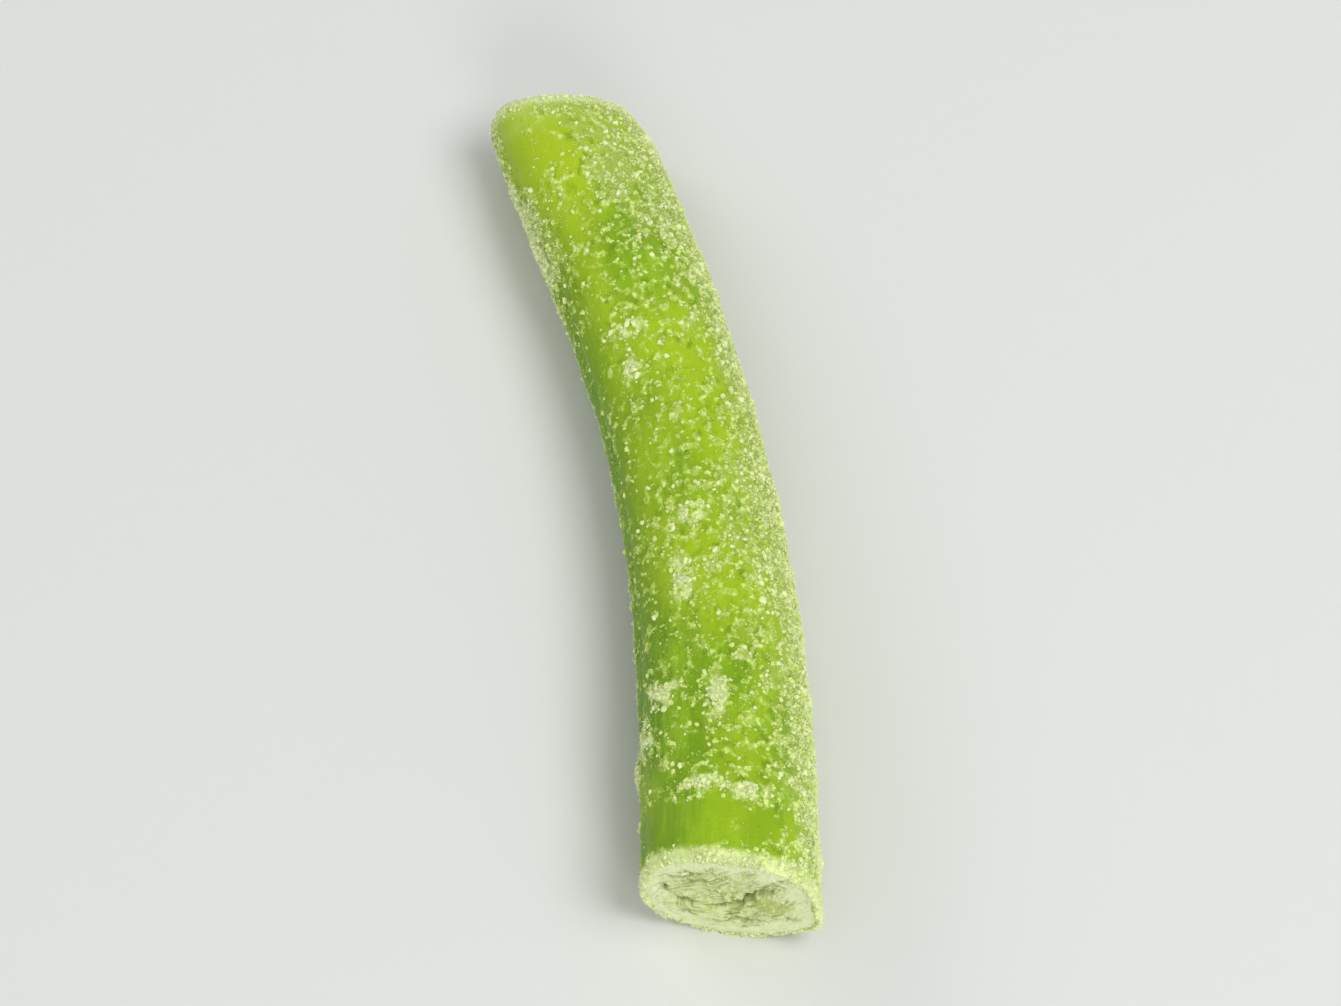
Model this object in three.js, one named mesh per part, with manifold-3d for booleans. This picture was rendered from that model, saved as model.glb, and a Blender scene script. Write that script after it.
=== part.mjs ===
// One cut length of frozen green bean, lying on its side, with ice crystals frozen to its skin.
// Millimetres, +Z up. The origin is on the resting surface, under the middle of the piece.
// X runs along the chord of the bend, whose outer side faces +Y. The cut at +X is the wider one.

import * as THREE from "three";
import { mergeVertices } from "three/addons/utils/BufferGeometryUtils.js";
import Module from "manifold-3d";

// The pod
const chordLength = 41.8; // straight from cut to cut
const bendRise = 2.45; // how far the middle stands off that chord
const bendReach = 0.9; // how far the bend spreads from the middle, in half chords
const narrowHalf = 3.52; // half the width, seam to seam, over the narrower half
const wideHalf = 4.0; // the same at the wide cut
const widenFrom = 0.35; // share of the length where it starts to widen
const tipTaper = 0.5; // how much the half width draws in at the narrow cut
const tipReach = 0.04; // share of the length over which it draws in
const flatness = 0.93; // thickness over width
const squareness = 2.2; // superellipse exponent of the section, 2 is an ellipse
const outerSeam = -0.45; // angle round the section of the seam that stands proud
const ridgeHeight = 0.14;
const ridgeAtCut = 0.42; // the same seam at the wide cut, where it makes a corner
const ridgeSpread = 0.25; // half width of the ridge, in radians round the section
const innerSeam = 2.85; // angle of the seam that is sunk
const grooveDepth = 0.1;
const grooveSpread = 0.12;
const seedPitch = 9.4; // from seed to seed inside the pod
const seedSwell = 0.1; // how much a seed lifts the wall over it
const restCut = 0.14; // depth of the flat that each swelling rests on
const middleX = 0.52; // the middle of the whole piece, from the middle of its chord
const middleY = 1.25;

// The cuts
const wideCutSlant = 0.14; // slope of each cut across the width
const narrowCutSlant = 0.4;
const cutReach = 0.15; // share of the length over which the wall turns to meet a slanted cut
const rimBevel = 0.12; // the skin is rounded over at a cut
const coreSink = 0.2; // the soft core shrinks below the wall
const coreShare = 0.42; // radius of that core over the section's
const gapDepth = 2.4; // the seed cavity, seen as a thin curved gap in each cut
const gapWidth = 0.5;
const gapSteps = 8;
const wideGap = [
  [-2.3, -0.2],
  [-1.1, 1.3],
  [0.4, -2.3],
  [2.4, 0.7],
]; // start, two pulls and end of the gap's curve, across the width and up
const narrowGap = [
  [-1.9, -0.5],
  [-0.7, 0.9],
  [0.6, -0.9],
  [2.0, 0.3],
];

// The frost: how thick it lies is a number from 0 to 1
const evenFrost = 0.3;
const rimFrost = 0.9; // more along the edge of each cut
const rimReach = 0.016;
const frostPatches = [
  { more: 0.8, along: 0.5, reach: 5, angle: 0.35, turn: 0.5 }, // a strip along the outer shoulder
  { more: 1.2, along: 0.15, reach: 0.06, angle: 3.05, turn: 0.45 }, // a beard on the inner side
  { more: 0.55, along: 0.12, reach: 0.1, angle: 1.2, turn: 0.55 }, // the top near the narrow cut
  { more: 0.3, along: 0.56, reach: 0.06, angle: 1.2, turn: 0.4 }, // a patch half way along
  { more: -1.6, along: 0.95, reach: 0.02, angle: 1.57, turn: 1.3 }, // a bare band by the wide cut
  { more: -0.45, along: 0.06, reach: 0.08, angle: 2.35, turn: 0.75 }, // bare by the narrow cut
  { more: -0.16, along: 0.5, reach: 5, angle: 2.7, turn: 0.6 }, // the inner side is barer
];
const crystalCount = 170; // scattered crystals, more of them where the frost is thick
const smallCrystal = 0.26; // half size of the smallest and the largest
const largeCrystal = 0.5;
const crystalSink = 0.3; // share of its half size by which a crystal's centre lies under the skin
const clumps = [
  [0.32, 2.0],
  [0.37, 2.06],
  [0.57, 1.74],
  [0.65, 2.0],
  [0.8, 1.67],
  [0.84, 2.65],
  [0.905, 1.88],
  [0.915, 1.3],
]; // share of the length and angle at which crystals have grown in a clump
const clumpCrystals = 5;
const clumpHalf = 0.6; // half width of a clump
const rimeRelief = 0.1; // roughness of the rime between the crystals
const frostSeed = 5;

// The facets
const stepsRound = 48;
const stepsAlong = 54;
const faceRings = [0.97, 0.8, 0.6, coreShare, 0.2]; // rings of a cut face, as shares of the section

const wasm = await Module();
wasm.setup();

function seededRandom(seed) {
  let state = seed;
  return () => {
    state = (state * 1664525 + 1013904223) % 4294967296;
    return state / 4294967296;
  };
}

const { exp, sin, cos, abs, hypot, PI } = Math;
const { clamp, lerp, smoothstep } = THREE.MathUtils;
const bump = (value, spread) => exp(-((value / spread) ** 2));

// Angle from a to b the short way round
const turnBetween = (a, b) => abs(((a - b + 3 * PI) % (2 * PI)) - PI);

function halfWidth(along) {
  const widened = lerp(narrowHalf, wideHalf, smoothstep(along, widenFrom, 1));
  return widened - tipTaper * exp(-along / tipReach);
}

// A point of the pod's centre line, which is a hyperbola's arc, and its two level directions
function spine(along) {
  const t = 2 * along - 1;
  const scale = bendRise / (hypot(1, bendReach) - bendReach);
  const x = 0.5 * chordLength * t;
  const y = scale * (hypot(1, bendReach) - hypot(t, bendReach));
  const slope = (-2 * scale * t) / hypot(t, bendReach) / chordLength;
  const size = hypot(1, slope);
  return { x, y, ahead: [1 / size, slope / size], side: [-slope / size, 1 / size] };
}

function swelling(along) {
  return 0.5 * seedSwell * (1 + cos((2 * PI * chordLength * (along - 0.5)) / seedPitch));
}

// Distance from the centre line to the skin, at an angle from the outer seam upwards
function skinRadius(along, angle) {
  const a = halfWidth(along);
  const b = a * flatness;
  const section =
    (abs(cos(angle) / a) ** squareness + abs(sin(angle) / b) ** squareness) ** (-1 / squareness);
  const ridge = lerp(ridgeHeight, ridgeAtCut, smoothstep(along, 1 - cutReach, 1));
  return (
    section +
    ridge * bump(turnBetween(angle, outerSeam), ridgeSpread) -
    grooveDepth * bump(turnBetween(angle, innerSeam), grooveSpread) +
    swelling(along) * sin(angle) ** 2
  );
}

function frost(along, angle) {
  let total = evenFrost + rimFrost * (exp(-along / rimReach) + exp(-(1 - along) / rimReach));
  for (const patch of frostPatches) {
    const near = bump(along - patch.along, patch.reach);
    total += patch.more * near * bump(turnBetween(angle, patch.angle), patch.turn);
  }
  return clamp(total, 0, 1);
}

// The level of the centre line is such that the swellings under it sink restCut into the surface
const centreHeight = (along) => halfWidth(along) * flatness + seedSwell - restCut;

// A point at a share of the section's radius. Near a cut, it moves with the slant of the cut.
function podPoint(along, angle, share, outward, ahead) {
  const line = spine(along);
  const radius = share * (skinRadius(along, angle) + outward);
  const across = radius * cos(angle);
  const nearWide = smoothstep(along, 1 - cutReach, 1);
  const nearNarrow = 1 - smoothstep(along, 0, cutReach);
  const shift = ahead + across * (wideCutSlant * nearWide + narrowCutSlant * nearNarrow);
  return [
    line.x + across * line.side[0] + shift * line.ahead[0],
    line.y + across * line.side[1] + shift * line.ahead[1],
    centreHeight(along) + radius * sin(angle),
  ];
}

// How far the cut face lies behind its plane, at a share of the section's radius
const faceSink = (share) => coreSink * (1 - smoothstep(share, coreShare * 0.5, coreShare * 1.5));

function podGeometry(random) {
  const rings = [];
  const addRing = (along, share, ahead, rough) => {
    const ring = [];
    for (let i = 0; i < stepsRound; i++) {
      const angle = (2 * PI * i) / stepsRound;
      const outward = rough ? rimeRelief * random() * frost(along, angle) : 0;
      ring.push(podPoint(along, angle, share, outward, ahead));
    }
    rings.push(ring);
  };
  for (const share of [...faceRings].reverse()) addRing(0, share, faceSink(share), false);
  for (let i = 0; i <= stepsAlong; i++) {
    const bevel = i === 0 ? rimBevel : i === stepsAlong ? -rimBevel : 0;
    addRing(i / stepsAlong, 1, bevel, i > 0 && i < stepsAlong);
  }
  for (const share of faceRings) addRing(1, share, -faceSink(share), false);

  const points = rings.flat();
  const first = points.push(podPoint(0, 0, 0, 0, coreSink)) - 1;
  const last = points.push(podPoint(1, 0, 0, 0, -coreSink)) - 1;
  const triangles = [];
  for (let i = 0; i < stepsRound; i++) {
    const next = (i + 1) % stepsRound;
    const end = (rings.length - 1) * stepsRound;
    triangles.push([first, next, i], [last, end + i, end + next]);
    for (let ring = 0; ring < rings.length - 1; ring++) {
      const a = ring * stepsRound + i;
      const b = ring * stepsRound + next;
      triangles.push([a, b, a + stepsRound], [b, b + stepsRound, a + stepsRound]);
    }
  }
  const geometry = new THREE.BufferGeometry();
  geometry.setAttribute("position", new THREE.Float32BufferAttribute(points.flat(), 3));
  geometry.setIndex(triangles.flat());
  return geometry;
}

// A thin curved wedge of air that opens into a cut face
function gapGeometry(curvePoints) {
  const curve = new THREE.CubicBezierCurve(...curvePoints.map((p) => new THREE.Vector2(...p)));
  const upper = [];
  const lower = [];
  for (let i = 0; i <= gapSteps; i++) {
    const share = i / gapSteps;
    const centre = curve.getPoint(share);
    const tangent = curve.getTangent(share);
    const half = 0.5 * gapWidth * sin(PI * (0.04 + 0.92 * share));
    const offset = new THREE.Vector2(-tangent.y, tangent.x).multiplyScalar(half);
    upper.push(centre.clone().add(offset));
    lower.unshift(centre.clone().sub(offset));
  }
  const outline = new THREE.Shape([...upper, ...lower]);
  return new THREE.ExtrudeGeometry(outline, { depth: 2 * gapDepth, bevelEnabled: false });
}

// Turns the gap's own across, up and depth into the frame of the cut at that end
function gapMatrix(along) {
  const line = spine(along);
  const across = new THREE.Vector3(line.side[0], line.side[1], 0);
  const up = new THREE.Vector3(0, 0, 1);
  const depth = new THREE.Vector3().crossVectors(across, up);
  const centre = new THREE.Vector3(line.x, line.y, centreHeight(along));
  centre.addScaledVector(depth, -gapDepth);
  return new THREE.Matrix4().makeBasis(across, up, depth).setPosition(centre);
}

// The crystals' places on the skin, as share of the length and angle
function crystalSpots(random) {
  const spots = [];
  for (const [along, angle] of clumps) {
    for (let i = 0; i < clumpCrystals; i++) {
      const ahead = (clumpHalf * (2 * random() - 1)) / chordLength;
      const round = (clumpHalf * (2 * random() - 1)) / halfWidth(along);
      spots.push([along + ahead, angle + round]);
    }
  }
  while (spots.length < clumps.length * clumpCrystals + crystalCount) {
    const spot = [random(), 2 * PI * random()];
    if (random() < frost(...spot)) spots.push(spot);
  }
  return spots;
}

function crystalGeometry(along, angle, random) {
  const half = lerp(smallCrystal, largeCrystal, random() ** 2);
  const [x, y, z] = podPoint(along, angle, 1, -crystalSink * half, 0);
  const turn = new THREE.Euler(2 * PI * random(), 2 * PI * random(), 2 * PI * random());
  const stretch = new THREE.Vector3(half, half * lerp(0.7, 1, random()), half * lerp(0.7, 1, random()));
  const matrix = new THREE.Matrix4().compose(
    new THREE.Vector3(x, y, z),
    new THREE.Quaternion().setFromEuler(turn),
    stretch,
  );
  return new THREE.OctahedronGeometry(1).applyMatrix4(matrix);
}

function solid(geometry) {
  const bare = geometry.clone();
  bare.deleteAttribute("normal");
  bare.deleteAttribute("uv");
  const merged = mergeVertices(bare, 1e-5);
  return new wasm.Manifold(
    new wasm.Mesh({
      numProp: 3,
      vertProperties: new Float32Array(merged.attributes.position.array),
      triVerts: new Uint32Array(merged.index.array),
    }),
  );
}

function geometryOf(body) {
  const { numProp, vertProperties, triVerts } = body.getMesh();
  const geometry = new THREE.BufferGeometry();
  const interleaved = new THREE.InterleavedBuffer(vertProperties, numProp);
  geometry.setAttribute("position", new THREE.InterleavedBufferAttribute(interleaved, 3, 0));
  geometry.setIndex(new THREE.BufferAttribute(triVerts, 1));
  return geometry;
}

function frostedBean() {
  const random = seededRandom(frostSeed);
  let body = solid(podGeometry(random));
  for (const [along, angle] of crystalSpots(random)) {
    body = body.add(solid(crystalGeometry(along, angle, random)));
  }
  body = body.subtract(solid(gapGeometry(wideGap).applyMatrix4(gapMatrix(1))));
  body = body.subtract(solid(gapGeometry(narrowGap).applyMatrix4(gapMatrix(0))));
  const below = new THREE.BoxGeometry(2 * chordLength, chordLength, 2).translate(0, 0, -1);
  body = body.subtract(solid(below));
  return geometryOf(body).toNonIndexed();
}

const geometry = frostedBean();
geometry.computeVertexNormals();

const bean = new THREE.Mesh(
  geometry,
  new THREE.MeshStandardMaterial({ color: 0x93b63a, roughness: 0.55, metalness: 0 }),
);
bean.name = "bean_pod";
bean.position.set(-middleX, -middleY, 0);

const part = new THREE.Group();
part.add(bean);

export default part;
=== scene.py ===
import math
from functools import partial

import bpy
import numpy as np
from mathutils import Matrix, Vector


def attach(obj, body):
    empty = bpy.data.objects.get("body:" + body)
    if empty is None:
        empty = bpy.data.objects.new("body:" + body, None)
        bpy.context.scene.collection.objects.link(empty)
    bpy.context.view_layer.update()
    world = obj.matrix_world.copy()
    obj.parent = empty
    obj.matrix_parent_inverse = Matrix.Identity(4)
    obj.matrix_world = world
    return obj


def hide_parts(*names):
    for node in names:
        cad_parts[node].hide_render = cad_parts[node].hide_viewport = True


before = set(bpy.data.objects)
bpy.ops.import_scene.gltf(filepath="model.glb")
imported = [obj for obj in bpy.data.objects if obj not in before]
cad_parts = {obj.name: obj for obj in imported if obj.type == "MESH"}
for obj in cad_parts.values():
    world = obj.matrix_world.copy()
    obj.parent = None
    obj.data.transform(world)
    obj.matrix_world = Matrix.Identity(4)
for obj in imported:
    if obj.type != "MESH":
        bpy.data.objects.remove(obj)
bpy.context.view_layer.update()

mm = 0.001  # sizes are in millimetres, and become metres where a mesh or a pattern is made


def linearColour(hexCode):
    steps = [int(hexCode[i:i + 2], 16) / 255 for i in (1, 3, 5)]
    return [c / 12.92 if c <= 0.04045 else ((c + 0.055) / 1.055) ** 2.4 for c in steps] + [1.0]


def addNode(tree, kind, inputs=None, **settings):
    node = tree.nodes.new(kind)
    for name, value in settings.items():
        setattr(node, name, value)
    for key, value in (inputs or {}).items():
        if isinstance(value, bpy.types.Node):
            value = next(socket for socket in value.outputs if socket.enabled)
        if isinstance(value, bpy.types.NodeSocket):
            tree.links.new(value, node.inputs[key])
        elif isinstance(value, str) and value.startswith("#"):
            node.inputs[key].default_value = linearColour(value)
        else:
            node.inputs[key].default_value = value
    return node


podForm = {
    "chordLength": 41.8,  # straight from cut to cut
    "bendRise": 2.45,  # how far the middle stands off that chord
    "bendReach": 0.9,  # how far the bend spreads from the middle, in half chords
    "narrowHalf": 3.52,  # half width over the narrower half
    "wideHalf": 4.0,
    "widenFrom": 0.35,
    "tipTaper": 0.5,  # the narrow cut draws in by this much
    "tipReach": 0.04,
    "flatness": 0.93,  # thickness over width
    "squareness": 2.2,
    "outerSeam": -0.45,  # radians round the section, from the outer side of the bend upwards
    "ridgeHeight": 0.14,
    "ridgeAtCut": 0.42,
    "ridgeSpread": 0.25,
    "innerSeam": 2.85,
    "grooveDepth": 0.1,
    "grooveSpread": 0.12,
    "seedPitch": 9.4,
    "seedSwell": 0.1,
    "restCut": 0.14,  # the flat that it rests on
    "middleX": 0.52,
    "middleY": 1.25,
    "wideCutSlant": 0.14,
    "narrowCutSlant": 0.4,
    "cutReach": 0.15,  # share of the length over which the wall turns to meet a slanted cut
    "rimRound": 0.14,  # radius of the skin's edge at a cut
    "coreSink": 0.2,
    "coreShare": 0.42,
    "gapDepth": 1.5,
    "gapHalf": 0.2,
    "creaseDepth": 0.22,
    "creaseHalf": 0.12,
    "hollowDepth": 0.3,
    "seedRise": 0.12,
    "slitLength": 5,  # about the longer slit's length, for the strands that run along it
    "rimFrost": 0.6,  # the frost along each cut's edge thins out over this length
    "stepsRound": 168,
    "stepsAlong": 375,
    "stepsRim": 3,
    "stepsFace": 76,
    "innermost": 0.004,  # the last ring of a cut, as a share of the radius
}
cutMarks = {  # across and up in each cut: where a line starts, its two pulls and where it ends
    "wide": {
        "gap": [(-1.3, -1.35), (0.9, -1.6), (0.9, 0.5), (2.0, 1.4)],  # the seed cavity, shut to a slit
        "crease": [(-2.2, -0.3), (-1.4, -1.3), (0.3, -0.3), (1.0, 1.6)],  # a fold of its soft lining
        "seed": (1.9, -0.3, 0.95, 0.7),  # a young seed cut across: its place and reach
        "hollows": [  # small sunken places: where, reach along and across, turn
            (-1.3, 2.2, 0.45, 0.16, 0.3), (-1.35, 1.15, 0.45, 0.18, -0.4), (-2.3, 1.5, 0.5, 0.15, -0.2),
            (-2.8, 0.2, 0.15, 0.35, 0.3), (-2.1, -0.85, 0.5, 0.18, -0.6), (-2.1, -2.0, 0.25, 0.15, 0.5),
            (0.9, -2.1, 0.7, 0.17, 0.1), (2.6, -1.5, 0.4, 0.18, 0.4), (2.4, 2.3, 0.35, 0.15, 0.5),
        ],
        "draw": 3,
    },
    "narrow": {
        "gap": [(-1.5, 0.9), (-0.4, 0.5), (0.2, -0.3), (0.8, -1.5)],
        "crease": [(-0.9, 1.9), (0.5, 1.2), (0.9, 0.2), (1.6, -0.9)],
        "seed": (-0.9, -1.1, 0.8, 0.6),
        "hollows": [
            (1.5, 1.3, 0.55, 0.13, 0.9), (-0.3, -2.3, 0.7, 0.13, 0.15), (-2.2, -0.3, 0.5, 0.12, 1.3),
            (2.0, -1.7, 0.3, 0.14, 0.7), (-1.0, 2.1, 0.4, 0.12, -0.3),
        ],
        "draw": 4,
    },
    "torn": {  # how a line wanders between its knots, and how its width varies
        "points": 90, "knots": 15, "wander": 0.13,
        "widths": 11, "thinnest": 0.25, "widest": 1.25, "tip": 0.04,
    },
    "waver": {  # the uneven edge of a spot: how far, and how fast it changes across and up
        "across": [(0.1, 2, 5.3), (0.05, 0, 13)],
        "up": [(0.08, 6.1, -1), (0.05, 14, 0)],
    },
}
frostForm = {  # how thick the frost lies, from 0 to 1
    "even": 0.3,
    "least": 0.015,
    "rim": 0.9,  # more along the edge of each cut
    "rimReach": 0.013,
    "patches": [  # how much more, round which share of the length, its reach, round which angle, its reach
        (0.8, 0.5, 5, 0.35, 0.5),  # a strip along the outer shoulder
        (1.2, 0.15, 0.06, 3.05, 0.45),  # a beard on the inner side
        (0.42, 0.12, 0.1, 1.2, 0.55),  # the top near the narrow cut
        (0.3, 0.56, 0.06, 1.2, 0.4),  # a patch half way along
        (-0.7, 0.952, 0.022, 1.95, 1.15),  # a bare band by the wide cut
        (-0.24, 0.05, 0.06, 2.45, 0.62),  # barer by the narrow cut
        (-0.12, 0.5, 5, 2.7, 0.6),  # the inner side is barer
        (0.6, 0.02, 0.045, 3.3, 0.35),  # a pale edge beside the narrow cut: frost that also stands for a painted highlight along that edge
        # thin and thick places along the outer seam
        (-0.5, 0.3, 0.05, -0.1, 0.35), (-0.45, 0.46, 0.04, 0.0, 0.3), (-0.6, 0.73, 0.07, -0.15, 0.35),
        (0.5, 0.2, 0.07, -0.8, 0.4), (0.55, 0.6, 0.06, -0.75, 0.35), (0.4, 0.85, 0.05, -1.0, 0.5),
    ],
}
clumpForm = {
    "spots": [  # share of the length, angle round the section, reach along and across
        (0.32, 2.0, 0.35, 0.75), (0.37, 2.06, 0.45, 0.45), (0.57, 1.74, 0.5, 0.6), (0.65, 2.0, 1.0, 0.45),
        (0.8, 1.67, 0.8, 0.45), (0.84, 2.65, 0.4, 0.35), (0.905, 1.88, 0.35, 0.9), (0.915, 1.3, 0.35, 0.7),
        # in the beard
        (0.09, 3.1, 0.5, 0.5), (0.12, 3.0, 0.6, 0.5), (0.155, 3.05, 0.8, 0.6), (0.195, 3.0, 0.6, 0.5),
    ],
    "more": 26,  # further clumps, scattered by the seed, and most of them low down
    "alongFrom": 0.03,
    "alongTo": 0.97,
    "leastReach": 0.3,
    "mostReach": 0.8,
    "lowBelow": 0.2,  # the angle, in radians, under which a place is low down
    "keptHigh": 0.2,  # the share of those higher up that is kept
    "keptBare": 0.3,  # and the share kept where there is no frost
    "seed": 7,
}


def ramp(value, low, high):
    t = np.clip((value - low) / (high - low), 0, 1)
    return t * t * (3 - 2 * t)


def bump(value, spread):
    return np.exp(-((value / spread) ** 2))


def turnBetween(a, b):
    return np.abs((a - b + 3 * np.pi) % (2 * np.pi) - np.pi)


def halfWidth(along):
    f = podForm
    widened = f["narrowHalf"] + (f["wideHalf"] - f["narrowHalf"]) * ramp(along, f["widenFrom"], 1)
    return widened - f["tipTaper"] * np.exp(-along / f["tipReach"])


def spineAt(along):
    f = podForm
    t = 2 * along - 1
    scale = f["bendRise"] / (np.hypot(1, f["bendReach"]) - f["bendReach"])
    x = 0.5 * f["chordLength"] * t
    y = scale * (np.hypot(1, f["bendReach"]) - np.hypot(t, f["bendReach"]))
    slope = -2 * scale * t / np.hypot(t, f["bendReach"]) / f["chordLength"]
    size = np.hypot(1, slope)
    return x, y, 1 / size, slope / size


def skinRadius(along, angle):
    f = podForm
    a = halfWidth(along)
    b = a * f["flatness"]
    power = f["squareness"]
    section = (np.abs(np.cos(angle) / a) ** power + np.abs(np.sin(angle) / b) ** power) ** (-1 / power)
    ridge = f["ridgeHeight"] + (f["ridgeAtCut"] - f["ridgeHeight"]) * ramp(along, 1 - f["cutReach"], 1)
    seeds = 0.5 * f["seedSwell"] * (
        1 + np.cos(2 * np.pi * f["chordLength"] * (along - 0.5) / f["seedPitch"]))
    return (
        section
        + ridge * bump(turnBetween(angle, f["outerSeam"]), f["ridgeSpread"])
        - f["grooveDepth"] * bump(turnBetween(angle, f["innerSeam"]), f["grooveSpread"])
        + seeds * np.sin(angle) ** 2
    )


def frostAt(along, angle):
    f = frostForm
    total = f["even"] + f["rim"] * (np.exp(-along / f["rimReach"]) + np.exp((along - 1) / f["rimReach"]))
    for more, spot, reach, side, turn in f["patches"]:
        total = total + more * bump(along - spot, reach) * bump(turnBetween(angle, side), turn)
    return np.clip(total, f["least"], 1)


def clumpSpots():
    f = clumpForm
    draw = np.random.default_rng(f["seed"])
    spots = list(f["spots"])
    while len(spots) < len(f["spots"]) + f["more"]:
        along, angle = draw.uniform(f["alongFrom"], f["alongTo"]), draw.uniform(-np.pi, np.pi)
        reachAlong, reachAcross = draw.uniform(f["leastReach"], f["mostReach"], 2)
        lowDown = angle < f["lowBelow"]
        frosted = frostAt(along, angle) + f["keptBare"]
        if (lowDown or draw.uniform() < f["keptHigh"]) and draw.uniform() < frosted:
            spots.append((along, angle, reachAlong, reachAcross))
    return spots


def clumpAt(spots, along, angle):
    total = np.zeros_like(angle)
    for spotAlong, spotAngle, reachAlong, reachAcross in spots:
        ahead = (along - spotAlong) * podForm["chordLength"] / reachAlong
        across = turnBetween(angle, spotAngle) * podForm["wideHalf"] / reachAcross
        total += bump(np.hypot(ahead, across), 1)
    return np.clip(total, 0, 1)


def podPoint(along, angle, share, outward, ahead):
    f = podForm
    x, y, aheadX, aheadY = spineAt(along)
    radius = share * (skinRadius(along, angle) + outward)
    across = radius * np.cos(angle)
    slant = f["wideCutSlant"] * ramp(along, 1 - f["cutReach"], 1)
    slant = slant + f["narrowCutSlant"] * (1 - ramp(along, 0, f["cutReach"]))
    shift = ahead + across * slant
    level = halfWidth(along) * f["flatness"] + f["seedSwell"] - f["restCut"]
    return np.stack([
        x - across * aheadY + shift * aheadX - f["middleX"],
        y + across * aheadX + shift * aheadY - f["middleY"],
        level + radius * np.sin(angle),
    ], -1)


def markLine(pulls, draw):  # a cubic curve with a torn line's small wanderings
    f = cutMarks["torn"]
    t = np.linspace(0, 1, f["points"])[:, None]
    p = np.array(pulls)
    curve = (1 - t) ** 3 * p[0] + 3 * t * (1 - t) ** 2 * p[1] + 3 * t * t * (1 - t) * p[2] + t ** 3 * p[3]
    knots = np.linspace(0, 1, f["knots"])
    wander = [np.interp(t[:, 0], knots, draw.uniform(-f["wander"], f["wander"], f["knots"]))
              for axis in range(2)]
    return curve + np.stack(wander, 1)


def nearest(line, across, up):  # how far off a line each point is, and how far along the line
    away = np.linalg.norm(np.stack([across, up], -1)[..., None, :] - line, axis=-1)
    return away.min(-1), away.argmin(-1) / (len(line) - 1)


def closeness(line, across, up, half, draw):  # 1 along the middle of a torn line, 0 away from it
    f = cutMarks["torn"]
    away, ahead = nearest(line, across, up)
    widths = draw.uniform(f["thinnest"], f["widest"], f["widths"])
    torn = np.interp(ahead, np.linspace(0, 1, f["widths"]), widths)
    tapered = np.sin(np.pi * (f["tip"] + (1 - 2 * f["tip"]) * ahead))
    return bump(away, half * torn * tapered)


def oval(across, up, spotAcross, spotUp, reachAlong, reachAcross, turn=0.0):  # a spot with a wavering edge
    x, y = (
        place + sum(far * np.sin(fastAcross * across + fastUp * up) for far, fastAcross, fastUp in waves)
        for place, waves in ((across - spotAcross, cutMarks["waver"]["across"]),
                             (up - spotUp, cutMarks["waver"]["up"])))
    along = (x * math.cos(turn) + y * math.sin(turn)) / reachAlong
    aside = (y * math.cos(turn) - x * math.sin(turn)) / reachAcross
    return np.exp(-((along ** 2 + aside ** 2) ** 1.5))


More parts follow.
